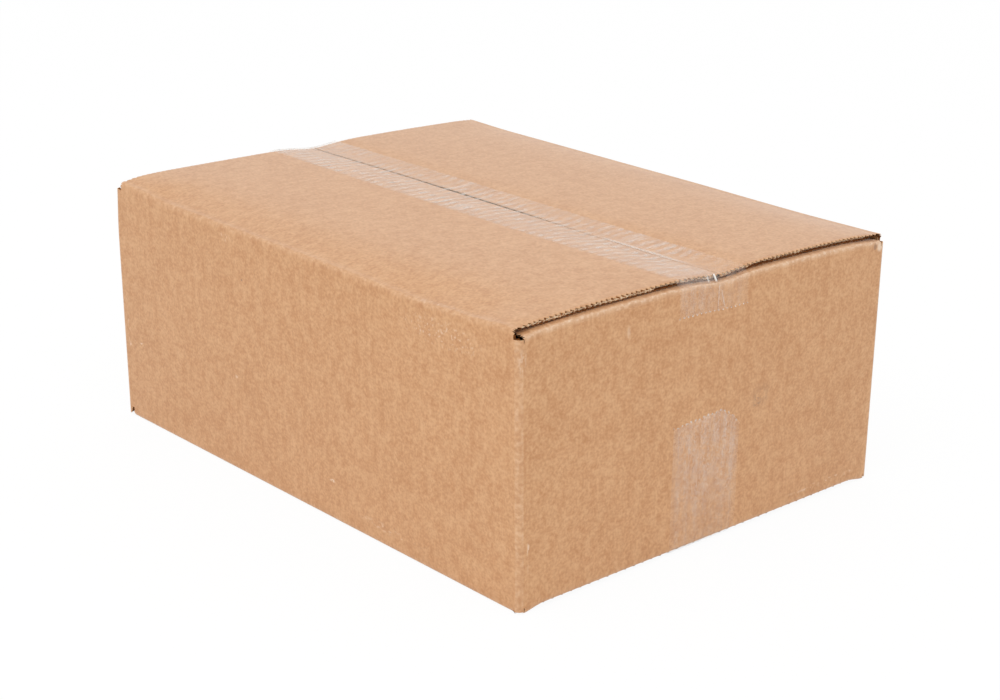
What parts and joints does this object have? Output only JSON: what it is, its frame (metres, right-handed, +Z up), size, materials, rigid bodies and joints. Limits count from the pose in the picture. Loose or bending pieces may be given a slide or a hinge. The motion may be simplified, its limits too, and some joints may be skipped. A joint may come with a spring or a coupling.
{
  "type": "closed cardboard box",
  "caption": "Closed slotted carton of brown corrugated board, its outer flaps meeting over the middle and sealed with clear tape.",
  "frame": {"origin": "on the ground, under the middle of the carton", "axes": "+X along the carton's length towards the end wall with the short tape drop, +Y along its width, +Z up"},
  "size_m": [0.3362, 0.256, 0.1404],
  "materials": {
    "kraft_board": "matt brown kraft liner",
    "clear_tape": "clear film tape, glossy, clouded where it doesn't wet the board"
  },
  "bodies": {
    "root": {"carton": "kraft_board", "top_tape": "clear_tape", "bottom_tape": "clear_tape"}
  },
  "joints": []
}
